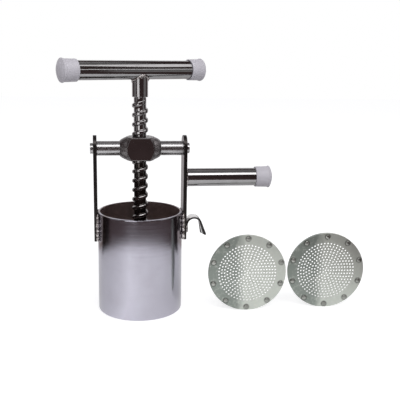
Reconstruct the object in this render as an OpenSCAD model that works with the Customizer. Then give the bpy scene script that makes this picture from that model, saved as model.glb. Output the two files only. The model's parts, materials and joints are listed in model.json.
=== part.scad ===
// Hand-cranked sev press: a coarse screw drives a round ram down a steel barrel
// and pushes dough through a perforated die. Two more dies stand on edge beside it.
// Units are millimetres, +Z is up, the side handle points along +X, and the origin
// is on the barrel's axis at the level of its foot.

/* [Barrel] */
// Outside diameter of the barrel
barrel_od = 118; // [104:1:150]
// Wall of the barrel
barrel_wall = 3; // [2:0.25:4]
// Height of the barrel
barrel_h = 142; // [130:1:170]
// Width of the inward lip that the die rests on
seat_lip = 8; // [7:0.5:9]
// Thickness of that lip
seat_t = 5; // [3:0.5:7]

/* [Dies] */
// Gap between a die's edge and the barrel's bore
die_gap = 0.5; // [0.3:0.1:1]
// Thickness of the perforated sheet
die_plate_t = 1.5; // [1:0.25:2.5]
// Width of the backing ring
die_ring_w = 11.5; // [10:0.5:13]
// Thickness of the backing ring
die_ring_t = 4; // [3:0.5:6]
// Diameter of the extruding holes
hole_d = 2.4; // [1.5:0.1:2.8]
// Distance from one ring of holes to the next
hole_row = 4.05; // [3.6:0.05:5]
// Distance from hole to hole along a ring
hole_step = 4.8; // [4:0.1:6]
// Plain margin between the holes and the backing ring
hole_margin = 3; // [2.5:0.25:5]
// Rivets round one die
rivet_count = 10; // [6:1:14]
// Diameter of a rivet's shank
rivet_d = 3.2; // [2.4:0.2:3.6]
// Diameter of a rivet's round head
rivet_head_d = 6.4; // [5.4:0.2:7.4]
// Height of a rivet's round head
rivet_head_h = 1.3; // [0.8:0.1:1.8]
// Distance from a die's edge to its rivets' centres
rivet_inset = 4.8; // [4.4:0.1:5.4]
// Gap round a rivet's shank
rivet_gap = 0.1; // [0.05:0.05:0.2]

/* [Loose dies] */
// How far to the side of the barrel's axis the far loose die stands
loose_x = 266; // [230:1:320]
// Place of the loose dies from front to back; below zero is in front of the barrel's axis
loose_y = -28; // [-70:1:-26]
// Distance between the two loose dies
loose_step = 116; // [112:1:124]
// Turn of the loose dies towards the front left
loose_turn = 4; // [0:1:30]

/* [Uprights] */
// Width of the flat bar
upright_w = 30; // [24:1:40]
// Thickness of the flat bar
upright_t = 5; // [3:0.5:8]
// How far the flat bar laps down over the barrel
upright_lap = 40; // [34:1:60]
// How far the rounded top reaches above the crossbar's axis
upright_over = 18; // [14:1:26]
// Gap between a welded piece and the barrel's curved side
weld_gap = 0.1; // [0.05:0.05:0.3]

/* [Crossbar] */
// Height of the crossbar's axis above the barrel's rim
crossbar_rise = 88; // [80:1:110]
// Side of the square block in the middle
block_w = 32; // [30:0.5:38]
// Flat cut along the block's four edges
block_edge = 1.2; // [0.6:0.1:2]
// Length of the block, where its turned ends meet the arms
block_len = 56; // [48:1:62]
// Length of the block's flat sides, along their middle line
flat_len = 37; // [32:1:42]
// Diameter of the round arms
arm_d = 20; // [18:0.5:24]
// Diameter of the end pins that pass through the uprights
pin_d = 14.5; // [10:0.5:16]
// How far an end pin stands out of its upright
pin_proud = 4; // [1:0.5:8]
// Gap round an end pin
pin_gap = 0.15; // [0.1:0.05:0.4]

/* [Screw] */
// Outside diameter of the thread and of the plain shank
thread_d = 22; // [20:0.5:24]
// Depth of the thread
thread_depth = 2.5; // [2:0.1:3]
// Rise of the thread in one turn
thread_lead = 13; // [11:0.5:14]
// Width of the thread's flat crest
thread_crest = 4.6; // [3.6:0.2:5]
// Height of each sloping flank
thread_flank = 0.9; // [0.6:0.1:1.2]
// Gap between the thread and the block's thread, on every face
thread_gap = 0.35; // [0.25:0.05:0.5]
// Length of the plain shank under the handle
shank_len = 23; // [16:1:32]
// How far the ram stands above its lowest place, as drawn
ram_rest = 53; // [46:1:60]
// Gap that is left where the screw meets a stop
stop_gap = 1; // [0.5:0.25:2]

/* [Ram] */
// Gap between the ram and the barrel's bore
ram_gap = 0.75; // [0.5:0.05:1.5]
// Thickness of the ram
ram_t = 10; // [9.5:0.5:14]
// Diameter of the hub on the ram
hub_d = 34; // [28:1:42]
// Height of the hub
hub_h = 14; // [10:1:20]
// Leg of the weld round the hub's foot
hub_weld = 3; // [2:0.5:5]
// Diameter of the screw's journal in the hub
journal_d = 12; // [10.5:0.5:14]
// Gap round the journal
journal_gap = 0.05; // [0.02:0.01:0.09]
// End play of the ram on the screw
journal_play = 0.2; // [0.1:0.05:0.5]
// Diameter of the washer that holds the ram up
washer_d = 26; // [22:1:30]
// Thickness of that washer
washer_t = 2.5; // [1.5:0.25:3]
// Gap round the washer in the ram's recess
recess_gap = 2; // [1:0.5:4]
// Diameter of the bolt under the washer
bolt_d = 6; // [4:0.5:7]
// Length of the bolt in the journal
bolt_grip = 16; // [10:1:22]
// Diameter of the bolt's round head
bolt_head_d = 12; // [10:0.5:16]
// Height of the bolt's round head
bolt_head_h = 3.5; // [2.5:0.25:4]
// Gap round the bolt's shank
bolt_gap = 0.1; // [0.05:0.05:0.2]

/* [Handles] */
// Outside diameter of the handle tube
tube_d = 25.4; // [23.5:0.1:28]
// Wall of the handle tube
tube_wall = 1.6; // [1:0.1:3]
// Length of the top handle over its caps
handle_len = 218; // [180:1:300]
// How far the top handle's middle lies past the screw's axis
handle_offset = -8; // [-12:0.5:12]
// Turn of the top handle from the crossbar's line
handle_turn = 25; // [0:1:90]
// Gap between the shank's saddle and the handle tube
saddle_gap = 0.05; // [0.02:0.01:0.1]
// Height of the side handle's axis above the barrel's rim
side_rise = 46.5; // [36:0.5:58]
// Length of the side handle from the upright to its cap's end
side_len = 123.5; // [90:0.5:160]

/* [Caps] */
// Length of a cap
cap_len = 24.5; // [18:0.5:32]
// Wall of a cap at its mouth
cap_wall = 1.7; // [1.2:0.1:2.5]
// How much wider a cap is where its lip starts
cap_flare = 0.8; // [0.6:0.1:3]
// How far the lip round the closed end stands out
cap_lip = 0.8; // [0.3:0.1:1.5]
// Height of that lip
cap_lip_h = 2.6; // [1.5:0.1:4]
// Height of the domed end
cap_dome = 4.5; // [0.5:0.25:6]
// Thickness of the closed end over the tube's edge
cap_end = 3; // [2.5:0.25:6]
// Gap between a cap and its tube
cap_gap = 0.05; // [0.02:0.01:0.1]

/* [Pan hook] */
// Width of the strip
hook_w = 20; // [10:1:26]
// Thickness of the strip
hook_t = 2.5; // [2:0.25:4]
// Inside radius of the arch
hook_r = 9; // [5:0.25:11]
// Distance from the rim down to the middle of the arch
hook_drop = 20.5; // [6:0.5:22]
// Length of the straight leg on the upright
hook_leg = 10.5; // [8:0.5:22]
// Length of the free leg
hook_tip = 18.5; // [14:0.5:30]
// Lean of the free leg away from the barrel
hook_lean = 15; // [0:1:30]

/* [Welds] */
// Half the thickness of a weld along an upright
bead_r = 2.6; // [1.8:0.1:3.4]
// Half the thickness of a weld round a tube or along the hook
fine_bead_r = 1.8; // [1.2:0.1:2.4]
// Length of one ripple of a weld
ripple = 7; // [5:0.5:10]
// How much a ripple swells the weld
ripple_swell = 0.17; // [0:0.01:0.25]

/* [Hidden] */
$fn = 72;

// A small amount by which a cutting shape reaches past what it cuts
over = 1;
// Steps of the thread in one turn, and of a round weld
thread_steps = 28;
weld_steps = 48;
// Sides of a weld's section, and its rings in one ripple
weld_sides = 6;
ripple_rings = 4;
// Turns of the cutting thread above and below the middle of the block
cutter_turns = 3;
// Steps of the hook's arch
hook_steps = 24;
// Flat cut on the barrel's rim, inside and out
rim_edge = 0.6;

steel = [0.74, 0.73, 0.77];
bright_steel = [0.85, 0.85, 0.87];
dark_steel = [0.40, 0.39, 0.39];
die_steel = [0.58, 0.60, 0.57];
weld_grey = [0.52, 0.51, 0.51];
white_plastic = [0.93, 0.92, 0.96];

barrel_r = barrel_od / 2;
bore_r = barrel_r - barrel_wall;

die_r = bore_r - die_gap;
hole_field_r = die_r - die_ring_w - hole_margin;
hole_rows = floor(hole_field_r / hole_row);
rivet_circle_r = die_r - rivet_inset;
die_plate_z = seat_t + die_ring_t;
die_top = die_plate_z + die_plate_t + rivet_head_h;
countersink = rivet_d / 2;

crossbar_z = barrel_h + crossbar_rise;
block_top = crossbar_z + block_w / 2;
block_bottom = crossbar_z - block_w / 2;
upright_x = barrel_r + weld_gap;
upright_out = upright_x + upright_t;
upright_bottom = barrel_h - upright_lap;
upright_top = crossbar_z + upright_over;

ram_r = bore_r - ram_gap;
ram_z = die_top + stop_gap + ram_rest;
hub_z = ram_z + ram_t;
hub_top = hub_z + hub_h;
recess_t = washer_t + bolt_head_h + journal_play;
journal_end = ram_z + recess_t - journal_play;
journal_top = hub_top + journal_play;

thread_r = thread_d / 2;
root_r = thread_r - thread_depth;
ridge = thread_crest + 2 * thread_flank;
shoulder_z = block_top + stop_gap + ram_rest;
turns_up = ceil((shoulder_z - stop_gap - crossbar_z - ridge / 2) / thread_lead) - 1;
turns_down = ceil((crossbar_z - journal_top - ridge / 2) / thread_lead) - 1;

tube_r = tube_d / 2;
handle_z = shoulder_z + shank_len + tube_r;
side_z = barrel_h + side_rise;
cap_bore_r = tube_r + cap_gap;
cap_mouth_r = cap_bore_r + cap_wall;
cap_end_r = cap_mouth_r + cap_flare / 2;
cap_lip_r = cap_end_r + cap_lip;
dome_r = (cap_lip_r * cap_lip_r + cap_dome * cap_dome) / (2 * cap_dome);
cap_floor = cap_end + dome_r - sqrt(dome_r * dome_r - cap_bore_r * cap_bore_r);

hook_z = barrel_h - hook_drop;
hook_mid_x = upright_out + hook_t + hook_r;

// The vertices of one closed coarse thread on its core, standing round the Z axis. A crest's
// middle lies at height 0 on the +X side, after a whole number of turns up and down.
// grow widens every face, for the shape that cuts the thread into the block.
function thread_fade(t, steps) = min(1, min(t, steps - t) / (thread_steps / 2));
function thread_point(t, r, z) = [r * cos(360 * t / thread_steps), r * sin(360 * t / thread_steps), z];
function thread_height(t, down) = thread_lead * (t / thread_steps - down) - ridge / 2;
function ridge_rise(grow) = [-grow, thread_flank - grow, ridge - thread_flank + grow, ridge + grow];

module thread_solid(down, up, low, high, grow = 0) {
  steps = (down + up) * thread_steps;
  core = root_r + grow;
  rise = ridge_rise(grow);
  tail = 4 * (steps + 1);
  foot = tail + thread_steps;
  head = foot + thread_steps;
  points = concat(
    [for (t = [0:steps], j = [0:3]) thread_point(t,
      core + (j == 1 || j == 2 ? thread_depth * thread_fade(t, steps) : 0), thread_height(t, down) + rise[j])],
    [for (t = [steps + 1:steps + thread_steps])
      thread_point(t, core, (thread_height(t - thread_steps, down) + rise[3] + high) / 2)],
    [for (t = [0:thread_steps - 1]) thread_point(t, core, low)],
    [for (t = [0:thread_steps - 1]) thread_point(t, core, high)]);
  function v(t, j) = t > steps ? tail + t - steps - 1 : 4 * t + j;
  function above(t, j) = j < 3 ? v(t, j + 1) : v(t + thread_steps, 0);
  function b(t) = foot + t % thread_steps;
  function c(t) = head + t % thread_steps;
  seam = [for (j = [0:3]) v(0, j)];
  end_seam = [for (j = [0:3]) v(steps, j)];
  low_line = concat([b(0)], seam, [v(thread_steps, 0)]);
  high_line = concat(end_seam, [v(steps + thread_steps, 0), c(0)]);
  polyhedron(points, concat(
    [for (t = [0:steps - 1], j = [0:3]) [v(t, j), above(t, j), above(t + 1, j)]],
    [for (t = [0:steps - 1], j = [0:3]) [v(t, j), above(t + 1, j), v(t + 1, j)]],
    [for (t = [0:thread_steps - 2]) [b(t), v(t, 0), v(t + 1, 0)]],
    [for (t = [0:thread_steps - 2]) [b(t), v(t + 1, 0), b(t + 1)]],
    [for (i = [0:len(low_line) - 2]) [v(thread_steps - 1, 0), low_line[i + 1], low_line[i]]],
    [[v(thread_steps - 1, 0), b(0), b(thread_steps - 1)]],
    [for (t = [1:thread_steps - 1]) [v(steps + t, 0), c(t), c(t + 1)]],
    [for (t = [1:thread_steps - 1]) [v(steps + t, 0), c(t + 1), v(steps + t + 1, 0)]],
    [for (i = [0:len(high_line) - 2]) [v(steps + 1, 0), high_line[i], high_line[i + 1]]],
    [[v(steps + 1, 0), c(0), c(1)]],
    [for (t = [1:thread_steps - 2]) [b(0), b(t), b(t + 1)]],
    [for (t = [1:thread_steps - 2]) [c(0), c(t + 1), c(t)]]), convexity = 10);
}

// A rippled weld bead: rings of weld_sides points round each centre. Its section spans the
// directions outs[i] and ups[i], and it is open with flat ends, or closed on itself.
function swell(i) = 1 + ripple_swell * sin(360 * i / ripple_rings);

module bead(centres, outs, ups, r, closed) {
  count = len(centres);
  points = [for (i = [0:count - 1], j = [0:weld_sides - 1])
    centres[i] + r * swell(i) * (cos(360 * j / weld_sides) * outs[i] + sin(360 * j / weld_sides) * ups[i])];
  function p(i, j) = (i % count) * weld_sides + j % weld_sides;
  walls = [for (i = [0:count - (closed ? 1 : 2)], j = [0:weld_sides - 1])
    each [[p(i, j), p(i + 1, j), p(i + 1, j + 1)], [p(i, j), p(i + 1, j + 1), p(i, j + 1)]]];
  ends = closed ? [] : [for (j = [1:weld_sides - 2])
    each [[p(0, 0), p(0, j), p(0, j + 1)], [p(count - 1, 0), p(count - 1, j + 1), p(count - 1, j)]]];
  polyhedron(points, concat(walls, ends));
}

// A straight bead standing at [x, y] from one height to another
module upright_bead(x, y, low, high, r) {
  count = max(2, round(ripple_rings * (high - low) / ripple));
  bead([for (i = [0:count]) [x, y, low + (high - low) * i / count]],
    [for (i = [0:count]) [1, 0, 0]], [for (i = [0:count]) [0, -1, 0]], r, false);
}

module die_plate_shape() {
  linear_extrude(die_plate_t)
    difference() {
      circle(die_r);
      circle(d = hole_d, $fn = 24);
      for (row = [1:hole_rows]) {
        holes = round(2 * PI * row * hole_row / hole_step);
        for (i = [0:holes - 1])
          rotate(360 * i / holes)
            translate([row * hole_row, 0])
              circle(d = hole_d, $fn = 24);
      }
      rivet_places() circle(d = rivet_d + 2 * rivet_gap, $fn = 24);
    }
}

module rivet_places() {
  for (i = [0:rivet_count - 1])
    rotate(360 * (i + 0.5) / rivet_count)
      translate([rivet_circle_r, 0])
        children();
}

module die_ring_shape() {
  difference() {
    cylinder(h = die_ring_t, r = die_r);
    translate([0, 0, -over])
      cylinder(h = die_ring_t + 2 * over, r = die_r - die_ring_w);
    rivet_places() {
      translate([0, 0, -over])
        cylinder(h = die_ring_t + 2 * over, d = rivet_d + 2 * rivet_gap);
      translate([0, 0, -rivet_gap])
        cylinder(h = countersink, r1 = rivet_d / 2 + countersink + rivet_gap, r2 = rivet_d / 2 + rivet_gap);
    }
  }
}

// Round heads on the sheet, and tails hammered flush into the ring
module die_rivets_shape() {
  head_r = rivet_head_d / 2;
  ball_r = (head_r * head_r + rivet_head_h * rivet_head_h) / (2 * rivet_head_h);
  rivet_places() {
    translate([0, 0, countersink])
      cylinder(h = die_ring_t + die_plate_t - countersink, d = rivet_d);
    cylinder(h = countersink, r1 = rivet_d / 2 + countersink, r2 = rivet_d / 2);
    translate([0, 0, die_ring_t + die_plate_t])
      intersection() {
        cylinder(h = rivet_head_h + over, r = head_r + over);
        translate([0, 0, rivet_head_h - ball_r])
          sphere(ball_r);
      }
  }
}

// Places of the die's layers: in the barrel, or stood on edge beside it
module seated() {
  translate([0, 0, seat_t])
    children();
}

module stood(x) {
  translate([x, loose_y, die_r])
    rotate([90, 0, -loose_turn])
      children();
}

module barrel() {
  color(steel)
    rotate_extrude()
      polygon([[bore_r, 0], [barrel_r, 0], [barrel_r, barrel_h - rim_edge], [barrel_r - rim_edge, barrel_h],
        [bore_r + rim_edge, barrel_h], [bore_r, barrel_h - rim_edge]]);
}

module die_seat_ring() {
  color(steel)
    difference() {
      cylinder(h = seat_t, r = bore_r - weld_gap / 2);
      translate([0, 0, -over])
        cylinder(h = seat_t + 2 * over, r = bore_r - seat_lip);
    }
}

module die_plate() {
  color(die_steel) seated() translate([0, 0, die_ring_t]) die_plate_shape();
}

module die_ring() {
  color(die_steel) seated() die_ring_shape();
}

module die_rivets() {
  color(dark_steel) seated() die_rivets_shape();
}

// One flat bar on the +X side, with a round top and the hole for the crossbar's end pin
module upright() {
  translate([upright_x, 0, 0])
    rotate([90, 0, 90])
      linear_extrude(upright_t)
        difference() {
          union() {
            translate([-upright_w / 2, upright_bottom])
              square([upright_w, upright_top - upright_w / 2 - upright_bottom]);
            translate([0, upright_top - upright_w / 2])
              circle(upright_w / 2);
          }
          translate([0, crossbar_z])
            circle(d = pin_d + 2 * pin_gap);
        }
}

module left_upright() {
  color(steel) mirror([1, 0, 0]) upright();
}

module right_upright() {
  color(steel) upright();
}

// Two beads that close the wedge between the flat bar's edges and the barrel's round side
module upright_welds() {
  wedge_x = sqrt(barrel_r * barrel_r - upright_w * upright_w / 4);
  for (side = [-1, 1])
    upright_bead((wedge_x + upright_x) / 2 + bead_r / 2, side * upright_w / 2,
      upright_bottom + bead_r, barrel_h - bead_r, bead_r);
}

module left_upright_welds() {
  color(weld_grey) rotate(180) upright_welds();
}

module right_upright_welds() {
  color(weld_grey) upright_welds();
}

// Turned from one square bar: end pins, round arms, and a square block with turned ends
module crossbar() {
  turned_r = block_w / 2 + flat_len / 4;
  reach = upright_out + pin_proud;
  color(bright_steel)
    translate([0, 0, crossbar_z])
      difference() {
        intersection() {
          rotate([0, 90, 0])
            rotate_extrude()
              polygon([[0, -reach], [pin_d / 2, -reach], [pin_d / 2, -upright_x], [arm_d / 2, -upright_x],
                [arm_d / 2, -block_len / 2], [block_w / 2, -flat_len / 2], [turned_r, -flat_len / 4],
                [turned_r, flat_len / 4], [block_w / 2, flat_len / 2], [arm_d / 2, block_len / 2],
                [arm_d / 2, upright_x], [pin_d / 2, upright_x], [pin_d / 2, reach], [0, reach]]);
          rotate([90, 0, 90])
            translate([0, 0, -reach - over])
              linear_extrude(2 * (reach + over))
                edged_square(block_w, block_edge);
        }
        thread_solid(cutter_turns, cutter_turns, -(cutter_turns + 1) * thread_lead,
          (cutter_turns + 1) * thread_lead, thread_gap);
      }
}

module edged_square(w, edge) {
  a = w / 2;
  b = a - edge;
  polygon([[a, -b], [a, b], [b, a], [-b, a], [-a, b], [-a, -b], [-b, -a], [b, -a]]);
}

// A tube along +X from the origin
module tube(length) {
  rotate([0, 90, 0])
    difference() {
      cylinder(h = length, r = tube_r);
      translate([0, 0, -over])
        cylinder(h = length + 2 * over, r = tube_r - tube_wall);
    }
}

// A cap along +X whose closed end reaches x = 0, with a lip round that end
module cap() {
  lip_top = cap_len - cap_dome;
  rotate([0, 90, 0])
    translate([0, 0, -cap_len])
      rotate_extrude()
        difference() {
          intersection() {
            polygon([[0, 0], [cap_mouth_r, 0], [cap_end_r, lip_top - cap_lip_h],
              [cap_lip_r, lip_top - cap_lip_h / 2], [cap_lip_r, cap_len], [0, cap_len]]);
            translate([0, cap_len - dome_r])
              circle(dome_r, $fn = 360);
          }
          translate([-over, -over])
            square([cap_bore_r + over, cap_len - cap_floor + over]);
        }
}

module side_handle_tube() {
  color(bright_steel)
    translate([upright_out, 0, side_z])
      tube(side_len - cap_floor);
}

// A bead round the handle's foot on the upright
module side_handle_weld() {
  turn = [for (i = [0:weld_steps - 1]) [0, cos(360 * i / weld_steps), sin(360 * i / weld_steps)]];
  color(weld_grey)
    translate([upright_out, 0, side_z])
      bead([for (t = turn) tube_r * t], turn, [for (t = turn) [-1, 0, 0]], fine_bead_r, true);
}

module side_handle_cap() {
  color(white_plastic)
    translate([upright_out + side_len, 0, side_z])
      cap();
}

// Side view of the hook: a straight leg, an arch and a free leg that leans out
function hook_arc(r) = [for (i = [0:hook_steps]) let (a = hook_lean + (180 - hook_lean) * i / hook_steps)
  r * [cos(a), sin(a)]];
function hook_end(r) = r * [cos(hook_lean), sin(hook_lean)] + hook_tip * [sin(hook_lean), -cos(hook_lean)];

module hook_outline() {
  outside = hook_r + hook_t;
  inner_arc = hook_arc(hook_r);
  polygon(concat([hook_end(outside)], hook_arc(outside), [[-outside, -hook_leg], [-hook_r, -hook_leg]],
    [for (i = [hook_steps:-1:0]) inner_arc[i]], [hook_end(hook_r)]));
}

// A strip bent into a hook, open at the bottom, that hangs on a pan's rim
module pan_hook() {
  color(steel)
    translate([hook_mid_x, hook_w / 2, hook_z])
      rotate([90, 0, 0])
        linear_extrude(hook_w)
          hook_outline();
}

// Two beads along the edges of the hook's straight leg
module pan_hook_welds() {
  color(weld_grey)
    for (side = [-1, 1])
      upright_bead(upright_out + hook_t / 3, side * hook_w / 2, hook_z - hook_leg + fine_bead_r,
        hook_z - fine_bead_r, fine_bead_r);
}

module ram_plate() {
  color(steel)
    translate([0, 0, ram_z])
      difference() {
        cylinder(h = ram_t, r = ram_r);
        translate([0, 0, -over])
          cylinder(h = recess_t + over, r = washer_d / 2 + recess_gap);
        cylinder(h = ram_t + over, r = journal_d / 2 + journal_gap);
      }
}

module ram_hub() {
  color(steel)
    translate([0, 0, hub_z])
      difference() {
        cylinder(h = hub_h, d = hub_d);
        translate([0, 0, -over])
          cylinder(h = hub_h + 2 * over, r = journal_d / 2 + journal_gap);
      }
}

module ram_hub_weld() {
  color(weld_grey)
    translate([0, 0, hub_z])
      rotate_extrude()
        polygon([[hub_d / 2, 0], [hub_d / 2 + hub_weld, 0], [hub_d / 2, hub_weld]]);
}

// Journal, thread, run-out neck and plain shank, with a saddle for the handle tube
module screw_spindle() {
  neck_r = root_r - thread_gap;
  thread_low = journal_top - crossbar_z;
  thread_high = shoulder_z - crossbar_z;
  color(bright_steel)
    difference() {
      union() {
        translate([0, 0, crossbar_z])
          thread_solid(turns_down, turns_up, thread_low, thread_high - stop_gap);
        translate([0, 0, journal_end])
          cylinder(h = journal_top - journal_end + over, d = journal_d);
        translate([0, 0, shoulder_z - stop_gap - over])
          cylinder(h = stop_gap + 2 * over, r = neck_r);
        translate([0, 0, shoulder_z])
          cylinder(h = shank_len + tube_r, r = thread_r);
      }
      translate([0, 0, journal_end - over])
        cylinder(h = bolt_grip + over, d = bolt_d + 2 * bolt_gap);
      translate([0, 0, handle_z])
        rotate([90, 0, 90 + handle_turn])
          cylinder(h = 2 * tube_d, r = tube_r + saddle_gap, center = true);
    }
}

module ram_washer() {
  color(dark_steel)
    translate([0, 0, journal_end - washer_t])
      difference() {
        cylinder(h = washer_t, d = washer_d);
        translate([0, 0, -over])
          cylinder(h = washer_t + 2 * over, d = bolt_d + 2 * bolt_gap);
      }
}

module ram_bolt() {
  color(dark_steel)
    translate([0, 0, journal_end - washer_t]) {
      translate([0, 0, -bolt_head_h])
        cylinder(h = bolt_head_h, d = bolt_head_d);
      cylinder(h = washer_t + bolt_grip - over, d = bolt_d);
    }
}

// The top handle's own frame: +X runs along its tube
module on_handle() {
  translate([0, 0, handle_z])
    rotate(handle_turn)
      translate([handle_offset, 0, 0])
        children();
}

module top_handle_tube() {
  length = handle_len - 2 * cap_floor;
  color(bright_steel)
    on_handle()
      translate([-length / 2, 0, 0])
        tube(length);
}

// A bead round the shank where it meets the handle tube
module top_handle_weld() {
  turn = [for (i = [0:weld_steps - 1]) [cos(360 * i / weld_steps), sin(360 * i / weld_steps), 0]];
  color(weld_grey)
    translate([0, 0, handle_z])
      rotate(handle_turn)
        bead([for (t = turn) thread_r * t - [0, 0, sqrt(tube_r * tube_r - pow(thread_r * t[1], 2))]],
          turn, [for (t = turn) [0, 0, 1]], fine_bead_r, true);
}

module top_handle_left_cap() {
  color(white_plastic)
    on_handle()
      rotate(180)
        translate([handle_len / 2, 0, 0])
          cap();
}

module top_handle_right_cap() {
  color(white_plastic)
    on_handle()
      translate([handle_len / 2, 0, 0])
        cap();
}

module near_loose_die_plate() {
  color(die_steel) stood(loose_x - loose_step) translate([0, 0, die_ring_t]) die_plate_shape();
}

module near_loose_die_ring() {
  color(die_steel) stood(loose_x - loose_step) die_ring_shape();
}

module near_loose_die_rivets() {
  color(dark_steel) stood(loose_x - loose_step) die_rivets_shape();
}

module far_loose_die_plate() {
  color(die_steel) stood(loose_x) translate([0, 0, die_ring_t]) die_plate_shape();
}

module far_loose_die_ring() {
  color(die_steel) stood(loose_x) die_ring_shape();
}

module far_loose_die_rivets() {
  color(dark_steel) stood(loose_x) die_rivets_shape();
}

barrel();
die_seat_ring();
die_plate();
die_ring();
die_rivets();
left_upright();
right_upright();
left_upright_welds();
right_upright_welds();
crossbar();
side_handle_tube();
side_handle_weld();
side_handle_cap();
pan_hook();
pan_hook_welds();
ram_plate();
ram_hub();
ram_hub_weld();
screw_spindle();
ram_washer();
ram_bolt();
top_handle_tube();
top_handle_weld();
top_handle_left_cap();
top_handle_right_cap();
near_loose_die_plate();
near_loose_die_ring();
near_loose_die_rivets();
far_loose_die_plate();
far_loose_die_ring();
far_loose_die_rivets();
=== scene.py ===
# %% [markdown]
# A sev press is a steel barrel with a screw above it. Turning the handle drives a ram down the barrel,
# and the ram pushes dough through a plate full of holes. The solids come from the CAD model, so nothing
# here has to be fitted by eye. This lesson gives them their looks: softer edges, real weld beads, a
# properly cut thread, and finishes for polished steel, sheet steel and moulded plastic.

# %% Load the CAD frame
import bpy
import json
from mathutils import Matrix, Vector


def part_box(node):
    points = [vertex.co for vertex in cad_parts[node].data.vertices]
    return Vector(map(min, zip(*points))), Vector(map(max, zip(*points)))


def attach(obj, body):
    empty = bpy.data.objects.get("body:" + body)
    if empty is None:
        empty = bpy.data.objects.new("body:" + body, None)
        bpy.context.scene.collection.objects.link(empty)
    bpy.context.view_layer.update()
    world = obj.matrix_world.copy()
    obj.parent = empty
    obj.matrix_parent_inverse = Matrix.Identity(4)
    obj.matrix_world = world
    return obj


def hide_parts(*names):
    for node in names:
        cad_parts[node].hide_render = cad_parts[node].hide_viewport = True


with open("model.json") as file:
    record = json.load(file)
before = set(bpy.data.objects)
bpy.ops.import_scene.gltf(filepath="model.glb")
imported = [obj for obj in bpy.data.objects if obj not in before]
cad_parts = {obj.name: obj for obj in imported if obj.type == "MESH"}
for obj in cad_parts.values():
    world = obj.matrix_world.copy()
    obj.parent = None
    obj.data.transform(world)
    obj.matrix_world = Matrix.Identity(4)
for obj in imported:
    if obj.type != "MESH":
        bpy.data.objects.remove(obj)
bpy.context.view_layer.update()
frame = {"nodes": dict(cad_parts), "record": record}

# %% Blender's modules, and millimetres
import json
import math

import bmesh
import bpy
from mathutils import Matrix, Vector, noise

scene = bpy.context.scene
MM = 0.001
print("Blender", bpy.app.version_string)

# %% [markdown]
# The camera stands a little left of the press and looks down at it. Its place and lens were worked out
# from straight edges and ellipses of the press in the photograph, so the picture's frame is repeated
# with no lens shift. Blender turns a camera from looking straight down, so 90 degrees less the downward
# tilt goes into the first angle.

# %% Camera
lens = bpy.data.cameras.new("press_camera")
lens.lens = 60.48
lens.sensor_width = 36
camera = bpy.data.objects.new("press_camera", lens)
scene.collection.objects.link(camera)
CAMERA_PLACE = (-0.061, -0.919, 0.368)
heading, tilt, roll = math.radians(-9.02), math.radians(77.13), math.radians(1.11)
camera.matrix_world = (Matrix.Translation(CAMERA_PLACE) @ Matrix.Rotation(heading, 4, "Z")
                       @ Matrix.Rotation(tilt, 4, "X") @ Matrix.Rotation(roll, 4, "Z"))
scene.camera = camera
print("Camera at", tuple(round(c, 3) for c in camera.location))

# %% [markdown]
# Polished steel shows its surroundings more than itself, so the studio matters as much as the metal.
# The press stands on a pale table in front of a white sweep. First comes the world: a soft, even light
# for the surfaces, and plain white for what the viewer, reflections and glass see of it.

# %% Light level and white surroundings
scene.view_settings.view_transform = "Standard"
world = bpy.data.worlds.new("white_studio")
scene.world = world
world.use_nodes = True
sky = world.node_tree
sky_light = sky.nodes["Background"]
sky_light.inputs["Color"].default_value = (1.0, 1.0, 1.0, 1.0)
SHOWN_RAYS = ("Is Camera Ray", "Is Glossy Ray", "Is Transmission Ray")


def any_of_rays(tree, names):
    """A value of 1 for rays of any of these kinds, and 0 for the others."""
    path = tree.nodes.new("ShaderNodeLightPath")
    share = path.outputs[names[0]]
    for name in names[1:]:
        either = tree.nodes.new("ShaderNodeMath")
        either.operation = "MAXIMUM"
        tree.links.new(share, either.inputs[0])
        tree.links.new(path.outputs[name], either.inputs[1])
        share = either.outputs[0]
    return share


SOFT_LIGHT, SHOWN_WHITE = 0.62, 1.0
level = sky.nodes.new("ShaderNodeMapRange")
level.inputs["To Min"].default_value = SOFT_LIGHT
level.inputs["To Max"].default_value = SHOWN_WHITE
sky.links.new(any_of_rays(sky, SHOWN_RAYS), level.inputs["Value"])
sky.links.new(level.outputs["Result"], sky_light.inputs["Strength"])
print("World light:", SOFT_LIGHT)

# %% [markdown]
# The floor is a wide pale sheet. Shade from the press falls on it, and a small glow that only the
# viewer, reflections and glass see lifts its open part to white. The glow is the same all over, so the
# shade stays.


# %% Floor
def studio_paint(name, colour, glow):
    """A dull paint that may also glow."""
    paint = bpy.data.materials.new(name)
    paint.use_nodes = True
    shader = paint.node_tree.nodes["Principled BSDF"]
    shader.inputs["Base Color"].default_value = (*colour, 1)
    shader.inputs["Roughness"].default_value = 0.9
    shader.inputs["Specular IOR Level"].default_value = 0.0
    shader.inputs["Emission Color"].default_value = (*colour, 1)
    shader.inputs["Emission Strength"].default_value = glow
    return paint


def studio_sheet(name, corners, faces, paint):
    """A floor or a wall of the studio, which is no part of the press."""
    mesh = bpy.data.meshes.new(name)
    mesh.from_pydata(corners, [], faces)
    mesh.materials.append(paint)
    sheet = bpy.data.objects.new(name, mesh)
    scene.collection.objects.link(sheet)
    return sheet


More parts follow.
